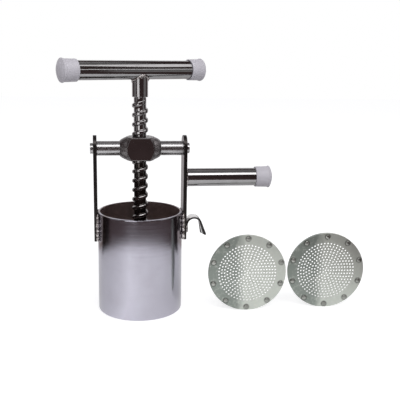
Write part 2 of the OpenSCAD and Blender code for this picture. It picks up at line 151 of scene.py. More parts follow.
FLOOR_REACH, FLOOR_GLOW = 4.0, 0.96
floor_corners = [(x * FLOOR_REACH, y * FLOOR_REACH, 0) for x, y in ((-1, -1), (1, -1), (1, 1), (-1, 1))]
floor_paint = studio_paint("pale_floor", (0.62, 0.62, 0.625), 0.0)
floor = studio_sheet("pale_floor", floor_corners, [(0, 1, 2, 3)], floor_paint)
floor_nodes = floor_paint.node_tree
floor_shader = floor_nodes.nodes["Principled BSDF"]
glow = floor_nodes.nodes.new("ShaderNodeMapRange")
glow.inputs["To Min"].default_value = 0.0
glow.inputs["To Max"].default_value = FLOOR_GLOW
floor_nodes.links.new(any_of_rays(floor_nodes, SHOWN_RAYS), glow.inputs["Value"])
floor_nodes.links.new(glow.outputs["Result"], floor_shader.inputs["Emission Strength"])
print("Floor:", floor.name)

# %% [markdown]
# The room on the viewer's side is dark, and that is what paints the dark band under the barrel's rim
# and the black lines along the handles. The room is a shell that only reflections can see, so it takes
# no light away and never gets in the way. It starts beside the barrel with the table, which grows
# darker to the sides and behind. Beyond the table's edge come the floor, the walls and the ceiling. The
# room is grey at the sides and pale behind. A white sheet runs down its left wall to the floor, and a
# card hangs at the right. Each corner of a face has its own tone, so the table's tones run smoothly
# into each other.

# %% Tones of the room
ROOM_TONES = {"brown": (0.040, 0.027, 0.027), "black": (0.010, 0.007, 0.007),
              "grey": (0.30, 0.285, 0.29), "side_grey": (0.17, 0.165, 0.165),
              "pale_wall": (0.58, 0.575, 0.58), "card": (0.9, 0.9, 0.9)}
TABLE_LEVELS = [(-180, 0.44), (-118, 0.42), (-75, 0.47), (-50, 0.55), (-27, 0.69), (5, 0.60),
                (38, 0.54), (75, 0.47), (118, 0.38), (180, 0.44)]


def table_tone(turn):
    """The table's tone; turn is in degrees to the right of the viewer's direction."""
    for (before, low), (after, high) in zip(TABLE_LEVELS, TABLE_LEVELS[1:]):
        if turn <= after:
            level = low + (high - low) * (turn - before) / (after - before)
            return level, level, 1.01 * level


def room_tone(turn, band):
    """Which tone a band of the room has in this direction."""
    side = abs(turn)
    if band == "ceiling_middle":
        return "grey" if side < 40 or side > 140 else "side_grey"
    if band == "ceiling":
        return "grey" if side < 40 else "brown"
    if side > 116:
        return "pale_wall" if side > 140 and band not in ("floor", "far_floor") else "grey"
    if side > 88 and band in ("floor", "far_floor"):
        return "black"
    white_sheet = band in ("far_floor", "skirting", "low_wall") and -38 < turn < -8
    hung_card = band == "shelf" and 46 < turn < 70
    if white_sheet or hung_card:
        return "card"
    return "side_grey" if 55 < side < 90 and band not in ("floor", "high_wall") else "brown"


print("Room tones:", ", ".join(ROOM_TONES))

# %% Dark room for the reflections
ROOM_STEPS, VIEWER_TURN = 120, -93.8
TABLE_START, TABLE_Z, WALL_R, CEILING_Z = 0.0595, 0.0005, 2.6, 2.4
BANDS = [("floor", 1.0, TABLE_Z), ("far_floor", WALL_R, TABLE_Z), ("skirting", WALL_R, 0.1),
         ("low_wall", WALL_R, 0.3), ("wall", WALL_R, 0.65), ("shelf", WALL_R, 0.9),
         ("high_wall", WALL_R, CEILING_Z), ("ceiling", 1.2, CEILING_Z),
         ("ceiling_middle", 0.01, CEILING_Z)]


def table_edge(turn):
    """How far the table reaches in this direction."""
    return 0.42 - 0.09 * (min(abs(turn), 120) / 106) ** 2


def room_shell():
    """Corners, faces and corner tones from beside the barrel out, up the wall and in over the ceiling."""
    bands = ["table"] + [band for band, _, _ in BANDS]
    rows = len(bands) + 1
    turns = [360 * i / ROOM_STEPS - 180 for i in range(ROOM_STEPS + 1)]
    corners, faces, tones = [], [], []
    for turn in turns:
        a = math.radians(turn + VIEWER_TURN)
        out = Vector((math.cos(a), math.sin(a), 0))
        profile = [(TABLE_START, TABLE_Z), (table_edge(turn), TABLE_Z)] + [(r, z) for _, r, z in BANDS]
        corners += [out * r + Vector((0, 0, z)) for r, z in profile]
    for i, (turn, after) in enumerate(zip(turns, turns[1:])):
        for j, band in enumerate(bands):
            k = rows * i + j
            faces.append((k, k + 1, k + rows + 1, k + rows))
            if band == "table":
                here, there = table_tone(turn), table_tone(after)
            else:
                here = there = ROOM_TONES[room_tone((turn + after) / 2, band)]
            tones += [(*tone, 1.0) for tone in (here, here, there, there)]
    return corners, faces, tones


room_paint = studio_paint("room_paint", (1, 1, 1), 1.0)
room_nodes = room_paint.node_tree
room_shader = room_nodes.nodes["Principled BSDF"]
corner_tone = room_nodes.nodes.new("ShaderNodeVertexColor")
corner_tone.layer_name = "tone"
for socket in ("Base Color", "Emission Color"):
    room_nodes.links.new(corner_tone.outputs["Color"], room_shader.inputs[socket])
shell_corners, shell_faces, shell_tones = room_shell()
room = studio_sheet("dark_room", shell_corners, shell_faces, room_paint)
tone_layer = room.data.color_attributes.new("tone", "FLOAT_COLOR", "CORNER")
tone_layer.data.foreach_set("color", [part for tone in shell_tones for part in tone])
for ray in ("camera", "diffuse", "shadow", "transmission", "volume_scatter"):
    setattr(room, "visible_" + ray, False)
print("Room faces:", len(room.data.polygons))

# %% [markdown]
# Two softboxes finish the studio: a wide one in front, which is the bright band along the crossbar and
# the side handle, and a small one to the right for the top handle.


# %% Soft lamps
def soft_lamp(name, place, aim, width, height, power):
    """A softbox that faces a point."""
    light = bpy.data.lights.new(name, "AREA")
    light.shape = "RECTANGLE"
    light.size = width
    light.size_y = height
    light.energy = power
    lamp = bpy.data.objects.new(name, light)
    scene.collection.objects.link(lamp)
    lamp.location = place
    lamp.rotation_euler = (Vector(aim) - Vector(place)).to_track_quat("-Z", "Y").to_euler()
    return lamp


front_lamp = soft_lamp("front_softbox", (0.1, -1.25, 1.65), (0.0, 0.0, 0.2), 2.2, 0.8, 20)
side_lamp = soft_lamp("side_softbox", (1.23, -0.33, 1.61), (0.0, 0.0, 0.3), 0.8, 0.8, 3)
print("Lamp powers:", front_lamp.data.energy, side_lamp.data.energy)

# %% [markdown]
# Every finish starts from Blender's Principled shader. A few small helpers keep the node work readable:
# one makes a shader, one adds a node and fills its sockets, and the rest make drawn-out noise, limits,
# mixed colours and bumps. A socket gets a link where it is given another node's output, and a plain
# value otherwise.


# %% Shader and node helpers
def new_finish(name, colour, metal, roughness):
    """A material with its Principled shader set to plain starting values."""
    finish = bpy.data.materials.new(name)
    finish.use_nodes = True
    shader = finish.node_tree.nodes["Principled BSDF"]
    shader.inputs["Base Color"].default_value = (*colour, 1)
    shader.inputs["Metallic"].default_value = metal
    shader.inputs["Roughness"].default_value = roughness
    return finish, finish.node_tree, shader


def add_node(tree, kind, settings=None, **sockets):
    """Adds a node. A socket is named in lower case with _ for a space, or by its place as in_0."""
    node = tree.nodes.new("ShaderNode" + kind)
    for name, value in (settings or {}).items():
        setattr(node, name, value)
    for name, value in sockets.items():
        if name.startswith("in_"):
            socket = node.inputs[int(name[3:])]
        else:
            socket = next(s for s in node.inputs
                          if s.name.lower().replace(" ", "_") == name and s.enabled)
        if isinstance(value, bpy.types.NodeSocket):
            tree.links.new(value, socket)
        else:
            socket.default_value = value
    return node


def work_out(tree, operation, *values):
    """One step of arithmetic."""
    sockets = {f"in_{i}": value for i, value in enumerate(values)}
    return add_node(tree, "Math", {"operation": operation}, **sockets).outputs[0]


print("Node helpers ready")


# %% Pattern helpers
def place_of(tree):
    """The point on the piece, in the piece's own frame."""
    return add_node(tree, "TexCoord").outputs["Object"]


def drawn_noise(tree, grains, detail=4.0):
    """Noise with so many grains to the metre along each axis; unequal counts draw it out into lines."""
    drawn = add_node(tree, "VectorMath", {"operation": "MULTIPLY"}, in_0=place_of(tree), in_1=grains)
    return add_node(tree, "TexNoise", None, vector=drawn.outputs[0], scale=1.0, detail=detail,
                    roughness=0.6).outputs["Fac"]


def spread(tree, value, low, high, to_low, to_high):
    """Maps a value from one span to another, and keeps it inside."""
    return add_node(tree, "MapRange", {"clamp": True}, value=value, from_min=low, from_max=high,
                    to_min=to_low, to_max=to_high).outputs["Result"]


def blend_colours(tree, share, first, second):
    """Mixes two colours or colour outputs."""
    return add_node(tree, "Mix", {"data_type": "RGBA"}, in_0=share, in_6=first, in_7=second).outputs[2]


def raise_bumps(tree, shader, height, strength):
    """Raises the surface by up to a fifth of a millimetre where height is light."""
    made = add_node(tree, "Bump", None, height=height, strength=strength, distance=0.2 * MM)
    tree.links.new(made.outputs["Normal"], shader.inputs["Normal"])


def parts_of(tree):
    """The X, Y and Z of the point on the piece."""
    return add_node(tree, "SeparateXYZ", None, vector=place_of(tree)).outputs


def distance_from_axis(tree):
    """How far the point lies from the Z axis of the piece's own frame."""
    spot = parts_of(tree)
    squares = work_out(tree, "ADD", work_out(tree, "MULTIPLY", spot["X"], spot["X"]),
                       work_out(tree, "MULTIPLY", spot["Y"], spot["Y"]))
    return work_out(tree, "SQRT", squares)


print("Pattern helpers ready")

# %% [markdown]
# The barrel is polished sheet steel with a faint violet cast. Its polishing marks run round it, so the
# noise has few grains along the way round and many in height. Cloudy smudges change the gloss a little,
# as fingers do. A dark brown band is painted down from the rim, a little way off each upright's weld
# beads: it is a painted reflection of the uprights' dark edges.

# %% Barrel finish
BEAD_ASIDE, REFLECTION_BAND_LOW, REFLECTION_BAND_HIGH = 16.5 * MM, 86 * MM, 106 * MM


def barrel_finish():
    finish, tree, shader = new_finish("barrel_satin_steel", (0.50, 0.49, 0.56), 1.0, 0.2)
    marks = drawn_noise(tree, (6, 6, 900))
    smudge = drawn_noise(tree, (26, 26, 26), 5.0)
    clean = blend_colours(tree, spread(tree, smudge, 0.35, 0.7, 0.0, 1.0),
                          (0.455, 0.445, 0.51, 1), (0.42, 0.408, 0.465, 1))
    spot = parts_of(tree)
    # Painted reflection: a dark brown band beside each upright's weld beads, from the rim down.
    beside = work_out(tree, "SUBTRACT", work_out(tree, "ABSOLUTE", spot["Y"]), BEAD_ASIDE)
    below = spread(tree, spot["Z"], REFLECTION_BAND_LOW, REFLECTION_BAND_HIGH, 30 * MM, 0.0)
    away = work_out(tree, "ADD", work_out(tree, "ABSOLUTE", beside), below)
    band = work_out(tree, "MULTIPLY", spread(tree, away, 4 * MM, 11 * MM, 0.2, 1.0),
                    spread(tree, away, 15 * MM, 27 * MM, 1.0, 0.0))
    painted_reflection = work_out(tree, "MULTIPLY", band, spread(tree, smudge, 0.3, 0.6, 0.6, 0.95))
    tree.links.new(blend_colours(tree, painted_reflection, clean, (0.16, 0.12, 0.115, 1)), shader.inputs["Base Color"])
    gloss = work_out(tree, "ADD", spread(tree, marks, 0.3, 0.7, 0.0, 0.05),
                     spread(tree, smudge, 0.3, 0.75, 0.11, 0.16))
    tree.links.new(gloss, shader.inputs["Roughness"])
    raise_bumps(tree, shader, marks, 0.06)
    return finish


barrel_steel = barrel_finish()
print("Finish:", barrel_steel.name)

# %% [markdown]
# The bore is duller and browner than the outside: it has been wiped out and oiled often. Rings from the
# ram run round it, and an oil film lies over them in patches.


# %% Bore finish
def bore_finish():
    finish, tree, shader = new_finish("bore_oiled_steel", (0.40, 0.34, 0.32), 1.0, 0.34)
    rings = drawn_noise(tree, (10, 10, 700))
    film_and_painted_dark = drawn_noise(tree, (40, 40, 18))
    tint = blend_colours(tree, spread(tree, film_and_painted_dark, 0.35, 0.7, 0.0, 1.0),
                         (0.64, 0.55, 0.54, 1), (0.52, 0.43, 0.42, 1))
    tree.links.new(tint, shader.inputs["Base Color"])
    tree.links.new(spread(tree, film_and_painted_dark, 0.3, 0.7, 0.28, 0.42), shader.inputs["Roughness"])
    raise_bumps(tree, shader, rings, 0.1)
    return finish


bore_steel = bore_finish()
print("Finish:", bore_steel.name)

# %% [markdown]
# The other steels share one recipe: fine lines that follow the way the piece was rolled, drawn or
# turned, and a cloudy change of colour and gloss where hands and cloths have been. Only the direction
# of the lines, the two tones and the gloss change from piece to piece. The tubes and the crossbar are
# nearly mirrors, the welds and rivets are rough.


# %% Rolled, drawn, turned and hammered steel
def lined_finish(name, grains, clean, worn, rough, groove, patches=60):
    """Steel whose fine lines follow the piece; worn is its tone in patches, so many to the metre."""
    finish, tree, shader = new_finish(name, clean, 1.0, rough)
    lines = drawn_noise(tree, grains)
    cloud = drawn_noise(tree, (patches, patches, patches))
    tint = blend_colours(tree, spread(tree, cloud, 0.35, 0.7, 0.0, 1.0), (*clean, 1), (*worn, 1))
    tree.links.new(tint, shader.inputs["Base Color"])
    gloss = work_out(tree, "ADD", spread(tree, lines, 0.3, 0.7, 0.0, 0.06),
                     spread(tree, cloud, 0.3, 0.7, rough - 0.04, rough + 0.04))
    tree.links.new(gloss, shader.inputs["Roughness"])
    raise_bumps(tree, shader, lines, groove)
    return finish


upright_steel = lined_finish("upright_rolled_steel", (700, 700, 12),
                             (0.27, 0.26, 0.265), (0.2, 0.19, 0.19), 0.2, 0.1)
tube_steel = lined_finish("handle_polished_tube", (40, 40, 40),
                          (0.34, 0.335, 0.34), (0.29, 0.285, 0.29), 0.07, 0.01)
block_steel = lined_finish("crossbar_polished_steel", (300, 40, 40),
                           (0.36, 0.35, 0.35), (0.29, 0.28, 0.28), 0.05, 0.02)
turned_steel = lined_finish("crossbar_turned_steel", (700, 30, 30),
                            (0.42, 0.415, 0.42), (0.33, 0.325, 0.33), 0.25, 0.02)
slope_steel = lined_finish("crossbar_dull_slope", (700, 60, 60),
                           (0.25, 0.235, 0.238), (0.19, 0.178, 0.18), 0.36, 0.05)
ram_steel = lined_finish("ram_turned_steel", (60, 60, 300),
                         (0.32, 0.29, 0.28), (0.2, 0.175, 0.165), 0.3, 0.12)
weld_steel = lined_finish("weld_bead_steel", (500, 500, 500),
                          (0.72, 0.69, 0.68), (0.10, 0.075, 0.07), 0.24, 0.3, 240)
rivet_steel = lined_finish("rivet_hammered_steel", (420, 420, 420),
                           (0.46, 0.47, 0.44), (0.3, 0.31, 0.285), 0.28, 0.3)
edge_steel = lined_finish("sheared_edge_steel", (60, 60, 500),
                          (0.055, 0.05, 0.05), (0.03, 0.026, 0.025), 0.36, 0.25)
plain_steels = (upright_steel, tube_steel, block_steel, turned_steel, slope_steel, ram_steel)
print("Steels:", [steel.name for steel in (*plain_steels, weld_steel, rivet_steel, edge_steel)])

# %% [markdown]
# The pan hook is bright strip. Its free leg is painted dark and dull, as a painted dark reflection, with a
# bare bright stripe left down its middle, where the highlight falls.

# %% Hook finish
DARK_LEG_START, DARK_LEG_FULL = 79 * MM, 84 * MM
STRIPE_HALF, STRIPE_EDGE = 1.5 * MM, 3.5 * MM


def hook_finish():
    finish, tree, shader = new_finish("hook_bent_strip", (0.62, 0.61, 0.61), 1.0, 0.1)
    spot = parts_of(tree)
    cloud = drawn_noise(tree, (60, 60, 60))
    bright = blend_colours(tree, spread(tree, cloud, 0.35, 0.7, 0.0, 1.0),
                           (0.62, 0.61, 0.61, 1), (0.46, 0.45, 0.45, 1))
    on_leg = spread(tree, spot["X"], DARK_LEG_START, DARK_LEG_FULL, 0.0, 1.0)
    aside = work_out(tree, "ABSOLUTE", spot["Y"])
    # Painted reflection: the free leg is painted dark, apart from a bare stripe down its middle.
    film_and_painted_dark = work_out(tree, "MULTIPLY", on_leg, spread(tree, aside, STRIPE_HALF, STRIPE_EDGE, 0.0, 1.0))
    tree.links.new(blend_colours(tree, film_and_painted_dark, bright, (0.02, 0.018, 0.018, 1)), shader.inputs["Base Color"])
    tree.links.new(spread(tree, film_and_painted_dark, 0.0, 1.0, 1.0, 0.0), shader.inputs["Metallic"])
    gloss = work_out(tree, "ADD", spread(tree, cloud, 0.3, 0.7, 0.07, 0.14),
                     spread(tree, film_and_painted_dark, 0.0, 1.0, 0.0, 0.55))
    tree.links.new(gloss, shader.inputs["Roughness"])
    raise_bumps(tree, shader, drawn_noise(tree, (30, 600, 30)), 0.04)
    return finish


hook_steel = hook_finish()
print("Finish:", hook_steel.name)

# %% [markdown]
# The screw's roots are painted dark in patches, as painted shade in the thread's hollows, most of all
# below the crossbar. The bare metal is painted darker below the crossbar than above it, as painted shade
# under it. How far a point lies from the screw's axis tells crests and roots apart.

# %% Screw finish
ROOT_R, CREST_R = 8.5 * MM, 11 * MM
SHADE_FULL_TO, SHADE_GONE_FROM = 238 * MM, 256 * MM


def screw_finish(root, crest):
    finish, tree, shader = new_finish("screw_oiled_steel", (0.5, 0.49, 0.49), 1.0, 0.14)
    out = distance_from_axis(tree)
    patches = drawn_noise(tree, (90, 90, 90), 3.0)
    height = parts_of(tree)["Z"]
    # Painted shade: the roots are dark in patches, and the metal is darker below the crossbar.
    film_and_painted_dark = work_out(tree, "MULTIPLY", spread(tree, patches, 0.3, 0.6, 0.45, 1.0),
                    spread(tree, height, SHADE_FULL_TO, SHADE_GONE_FROM, 1.0, 0.1))
    painted_root_shade = work_out(tree, "MULTIPLY", spread(tree, out, root, root + 0.6 * (crest - root), 1.0, 0.0), film_and_painted_dark)
    shaded_below_crossbar = blend_colours(tree, spread(tree, height, SHADE_FULL_TO, SHADE_GONE_FROM, 0.0, 1.0),
                          (0.24, 0.23, 0.23, 1), (0.36, 0.35, 0.355, 1))
    tint = blend_colours(tree, painted_root_shade, shaded_below_crossbar, (0.045, 0.038, 0.035, 1))
    tree.links.new(tint, shader.inputs["Base Color"])
    tree.links.new(spread(tree, patches, 0.3, 0.7, 0.07, 0.15), shader.inputs["Roughness"])
    raise_bumps(tree, shader, drawn_noise(tree, (300, 300, 900)), 0.06)
    return finish


screw_steel = screw_finish(ROOT_R, CREST_R)
print("Finish:", screw_steel.name)

# %% [markdown]
# The caps are moulded plastic, off-white with a touch of lilac. A moulded surface is never quite even:
# it has a fine pebble from the mould, cloudy patches, and grey scuffs where it rubs.


# %% Cap finish
def cap_finish():
    finish, tree, shader = new_finish("cap_lilac_white_plastic", (0.45, 0.44, 0.48), 0.0, 0.45)
    cloud = drawn_noise(tree, (45, 45, 45))
    scuff = drawn_noise(tree, (260, 260, 90), 3.0)
    tone = blend_colours(tree, spread(tree, cloud, 0.35, 0.72, 0.0, 1.0),
                         (0.49, 0.473, 0.522, 1), (0.445, 0.428, 0.473, 1))
    marked = blend_colours(tree, spread(tree, scuff, 0.68, 0.76, 0.0, 0.25), tone, (0.3, 0.29, 0.31, 1))
    tree.links.new(marked, shader.inputs["Base Color"])
    tree.links.new(spread(tree, cloud, 0.3, 0.7, 0.38, 0.52), shader.inputs["Roughness"])
    raise_bumps(tree, shader, drawn_noise(tree, (900, 900, 900), 2.0), 0.02)
    return finish


cap_plastic = cap_finish()
print("Finish:", cap_plastic.name)

# %% [markdown]
# A die is a grey-green steel sheet. Its side towards its own minus X is painted darker, with a wavy edge:
# a painted reflection. The rest is rubbed lighter in spots, and painted shade lies in a dark ring round
# each rivet, where its head meets the sheet. The dies are all made alike, so the finish works in a die's
# own frame, with the die's axis as Z. Wrapping the angle into one rivet's share of the circle gives the
# painted rivet shade its ten places.

# %% Die finish
RIVETS = 10
RIVET_CIRCLE = 50.7 * MM


def die_finish():
    finish, tree, shader = new_finish("die_sheet_steel", (0.44, 0.47, 0.43), 1.0, 0.34)
    die_cloud = drawn_noise(tree, (34, 34, 34), 5.0)
    rub = drawn_noise(tree, (240, 240, 240), 3.0)
    spot = parts_of(tree)
    share = 2 * math.pi / RIVETS
    turn = work_out(tree, "WRAP", work_out(tree, "ARCTAN2", spot["Y"], spot["X"]), share, 0.0)
    along = work_out(tree, "MULTIPLY", work_out(tree, "SUBTRACT", turn, share / 2), RIVET_CIRCLE)
    across = work_out(tree, "SUBTRACT", distance_from_axis(tree), RIVET_CIRCLE)
    reach = work_out(tree, "SQRT", work_out(tree, "ADD", work_out(tree, "MULTIPLY", along, along),
                                            work_out(tree, "MULTIPLY", across, across)))
    # Painted shade: a dark ring round each rivet's head, where it meets the sheet.
    painted_rivet_shade = work_out(tree, "MULTIPLY", spread(tree, reach, 3.4 * MM, 5.2 * MM, 0.85, 0.0),
                     spread(tree, rub, 0.3, 0.6, 0.6, 1.0))
    # Painted reflection: the sheet is darker on its minus-X side, with a wavy edge.
    painted_reflection_side = work_out(tree, "ADD", spot["X"], spread(tree, die_cloud, 0.2, 0.8, -8 * MM, 8 * MM))
    sheet = blend_colours(tree, spread(tree, painted_reflection_side, -18 * MM, -3 * MM, 1.0, 0.0),
                          (0.70, 0.735, 0.68, 1), (0.31, 0.345, 0.315, 1))
    rubbed = blend_colours(tree, spread(tree, rub, 0.52, 0.7, 0.0, 0.4), sheet, (0.80, 0.82, 0.77, 1))
    tree.links.new(blend_colours(tree, painted_rivet_shade, rubbed, (0.1, 0.1, 0.09, 1)), shader.inputs["Base Color"])
    tree.links.new(spread(tree, die_cloud, 0.3, 0.7, 0.42, 0.56), shader.inputs["Roughness"])
    raise_bumps(tree, shader, rub, 0.08)
    return finish


die_steel = die_finish()
print("Finish:", die_steel.name)

# %% [markdown]
# The CAD nodes that keep their own shape only change their material: the tubes, the seat, the ram and
# the small pieces under it. The record says which finish each node asks for and which body carries it.

# %% Finishes on the CAD pieces
wears = {
    "barrel_steel": barrel_steel, "bar_steel": upright_steel, "bright_steel": tube_steel,
    "ram_steel": ram_steel, "die_steel": die_steel, "rivet_steel": rivet_steel,
    "weld_steel": weld_steel, "cap_plastic": cap_plastic,
}
slot_of = {part["node"]: part["material_slot"] for part in frame["record"]["subparts"]}
body_of = {node: body for body, nodes in frame["record"]["behaviour"]["bodies"].items() for node in nodes}
for node, slot in slot_of.items():
    mesh = frame["nodes"][node].data
    mesh.materials.clear()
    mesh.materials.append(wears[slot])
print("Dressed:", len(slot_of))

# %% [markdown]
# Now the pieces that get a finer shape than the CAD solid. Each one is made with bmesh, takes the place
# of its CAD node and rides on that node's body, so the joints still move it. Round pieces are turned
# from an outline, as on a lathe.


# %% Piece and lathe helpers
def take_place(name, made, node, finish, place=None, sharp=32):
    """Makes a bmesh into a piece that stands for a CAD node."""
    mesh = bpy.data.meshes.new(name)
    bmesh.ops.recalc_face_normals(made, faces=made.faces)
    made.to_mesh(mesh)
    made.free()
    mesh.shade_smooth()
    mesh.set_sharp_from_angle(angle=math.radians(sharp))
    mesh.materials.append(finish)
    piece = bpy.data.objects.new(name, mesh)
    scene.collection.objects.link(piece)
    if place is not None:
        piece.matrix_world = place
    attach(piece, body_of[node])
    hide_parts(node)
    print(name, "has", len(mesh.polygons), "faces")
    return piece


def add_ring(made, radius, height, steps):
    """A ring of points round Z; height is a number, or a function of the angle."""
    ring = []
    for i in range(steps):
        a = 2 * math.pi * i / steps
        z = height(a) if callable(height) else height
        ring.append(made.verts.new((radius * math.cos(a), radius * math.sin(a), z)))
    return ring


def join_rings(made, rings):
    """Closes the bands between rings of the same length."""
    for lower, upper in zip(rings, rings[1:]):
        for i in range(len(lower)):
            k = (i + 1) % len(lower)
            made.faces.new((lower[i], lower[k], upper[k], upper[i]))


def lathe(made, outline, steps):
    """Turns an outline of (radius, height) round Z. Points on the axis and doubled ends are merged."""
    rings = [add_ring(made, r, z, steps) for r, z in outline]
    join_rings(made, rings)
    bmesh.ops.remove_doubles(made, verts=made.verts, dist=1e-7)


print("Piece helpers ready")

# %% [markdown]
# The barrel is a turned outline. Its rim has been filed round on the outside, so its front carries a
# thin bright line, and it is nearly square inside. Its foot is rounded too. A ring of points close
# under the rim keeps the wall's shading straight. The faces that look towards the axis get the duller
# finish of the bore.

# %% Barrel
BARREL_R, BORE_R, BARREL_H = 59 * MM, 56 * MM, 142 * MM
RIM_BOW, FOOT_ROUND, EDGE_BREAK = 0.65 * MM, 2.2 * MM, 0.3 * MM


def rounded_rim():
    """Points over the rim, from the outside to the inside edge, which is nearly square."""
    inner, turns = BORE_R + EDGE_BREAK, [math.radians(a) for a in range(0, 91, 10)]
    bow = [(inner + (BARREL_R - inner) * math.cos(a), BARREL_H - RIM_BOW * (1 - math.sin(a)))
           for a in turns]
    return bow + [(BORE_R, BARREL_H - EDGE_BREAK)]


def rounded_foot():
    """Points from under the wall round to its outside."""
    turns = [math.radians(a) for a in range(-90, 1, 15)]
    return [(BARREL_R - FOOT_ROUND * (1 - math.cos(a)), FOOT_ROUND * (1 + math.sin(a))) for a in turns]


barrel_made = bmesh.new()
inner_edge = [(BORE_R, EDGE_BREAK), (BORE_R + EDGE_BREAK, 0)]
over_foot, under_rim = FOOT_ROUND + 1.2 * MM, BARREL_H - RIM_BOW - 1.2 * MM
outside = [*rounded_foot(), (BARREL_R, over_foot), (BARREL_R, under_rim)]
inside = [(BORE_R, under_rim), (BORE_R, over_foot)]
lathe(barrel_made, inner_edge + outside + rounded_rim() + inside + inner_edge[:1], 144)
barrel = take_place("polished_barrel", barrel_made, "barrel", barrel_steel)
barrel.data.materials.append(bore_steel)
for face in barrel.data.polygons:
    if face.center.xy.length < BORE_R + 0.2 * MM:
        face.material_index = 1
print("Bore faces:", sum(face.material_index for face in barrel.data.polygons))

# %% [markdown]
# The screw's thread is a ridge that climbs 13 mm with each turn. A grid of points does it well: its
# rows follow the ridge, so every edge of the ridge lies on a row, and each column stands at one angle.
# The crest's edges are broadly eased, so that each carries a line of light. Where the last column meets
# the first, the rows are one turn higher. Rows that leave the threaded length are pressed flat onto its
# ends and merged.

# %% Screw thread
LEAD, SCREW_MIDDLE = 13 * MM, 230 * MM
THREAD_LOW, THREAD_HIGH = 90 * MM, 299 * MM
TURNS_DOWN, TURNS_UP = 10, 5
RIDGE = [(-3.35, 8.5), (-3.1, 8.66), (-2.6, 10.1), (-2.35, 10.4), (-1.35, 11.0),
         (1.35, 11.0), (2.35, 10.4), (2.6, 10.1), (3.1, 8.66), (3.35, 8.5)]


def thread_point(turns, across, radius):
    """A point of the ridge after so many turns; the ridge fades in and out over half a turn."""
    fade = max(0.0, min(1.0, 2 * (turns + TURNS_DOWN), 2 * (TURNS_UP - turns)))
    z = min(max(SCREW_MIDDLE + LEAD * turns + across * MM, THREAD_LOW), THREAD_HIGH)
    r = ROOT_R + (radius * MM - ROOT_R) * fade
    a = 2 * math.pi * turns
    return r * math.cos(a), r * math.sin(a), z


def thread_grid(made, columns):
    """The threaded length of the screw, open at both ends."""
    rows = [(k, s, r) for k in range(-TURNS_DOWN - 3, TURNS_UP + 3) for s, r in RIDGE]
    grid = [[made.verts.new(thread_point(k + c / columns, s, r)) for c in range(columns)]
            for k, s, r in rows]
    for i in range(len(rows) - 1):
        for c in range(columns - 1):
            made.faces.new((grid[i][c], grid[i][c + 1], grid[i + 1][c + 1], grid[i + 1][c]))
    for i in range(len(rows) - len(RIDGE) - 1):
        j = i + len(RIDGE)
        made.faces.new((grid[i][-1], grid[j][0], grid[j + 1][0], grid[i + 1][-1]))
    bmesh.ops.remove_doubles(made, verts=made.verts, dist=1e-6)


SCREW_STEPS = 72
screw_made = bmesh.new()
thread_grid(screw_made, SCREW_STEPS)
print("Thread points:", len(screw_made.verts))

# %% [markdown]
# Below the thread is the plain journal that the ram hangs on, with the bolt's hole in its end. Above it
# is a short neck and the plain shank. The shank's top is hollowed to fit under the handle's tube, so
# its last rings follow the tube's curve.

# %% Screw ends
HANDLE_Z, TUBE_R, HANDLE_TURN = 335.7 * MM, 12.7 * MM, math.radians(25)
SADDLE_R = TUBE_R + 0.05 * MM
JOURNAL = [(0, 87.8), (3.1, 87.8), (3.1, 71.8), (5.5, 71.8), (6, 72.3), (6, 90), (8.5, 90)]
NECK = [(8.5, 299), (8.15, 299), (8.15, 300), (10.5, 300), (11, 300.5)]


def saddle(radius):
    """Height of the hollow at this distance from the screw's axis, as a function of the angle."""
    def height(a):
        aside = radius * math.sin(a - HANDLE_TURN)
        return HANDLE_Z - math.sqrt(SADDLE_R ** 2 - aside ** 2)
    return height


lathe(screw_made, [(r * MM, z * MM) for r, z in JOURNAL], SCREW_STEPS)
neck_rings = [add_ring(screw_made, r * MM, z * MM, SCREW_STEPS) for r, z in NECK]
saddle_rings = [add_ring(screw_made, r * MM, saddle(r * MM), SCREW_STEPS) for r in (11, 8, 4, 0)]
join_rings(screw_made, neck_rings + saddle_rings)
bmesh.ops.remove_doubles(screw_made, verts=screw_made.verts, dist=1e-6)
take_place("cut_screw_spindle", screw_made, "screw_spindle", screw_steel, sharp=26)

# %% [markdown]
# The caps are moulded: a skirt that widens a little, a soft lip round the closed end, and a shallow
# dome. One outline serves all three. It is turned with the closed end up, and a matrix then sets it on
# its tube.

# %% Caps
MOUTH_R, LIP_R, TUBE_HOLE_R, CAP_FLOOR, DOME_R = 14.45, 15.64, 12.75, -5.9, 29.46
dome = [(r, math.sqrt(DOME_R ** 2 - r ** 2) - DOME_R) for r in (15.2, 14.6, 13.5, 12, 10, 8, 6, 4, 2, 0)]
CAP_OUTLINE = [(TUBE_HOLE_R, CAP_FLOOR), (TUBE_HOLE_R, -24.2), (13.1, -24.5), (14.1, -24.5),
               (MOUTH_R, -24.15), (14.48, -22), (14.8, -8), (14.86, -7.2), (15.03, -6.75),
               (15.38, -6.15), (15.6, -5.8), (LIP_R, -5.5), (15.63, -5.1), (15.5, -4.72),
               *dome, (0, CAP_FLOOR), (TUBE_HOLE_R, CAP_FLOOR)]


def moulded_cap(name, node, place):
    made = bmesh.new()
    lathe(made, [(r * MM, z * MM) for r, z in CAP_OUTLINE], 72)
    bmesh.ops.transform(made, matrix=place, verts=made.verts)
    return take_place(name, made, node, cap_plastic, sharp=50)


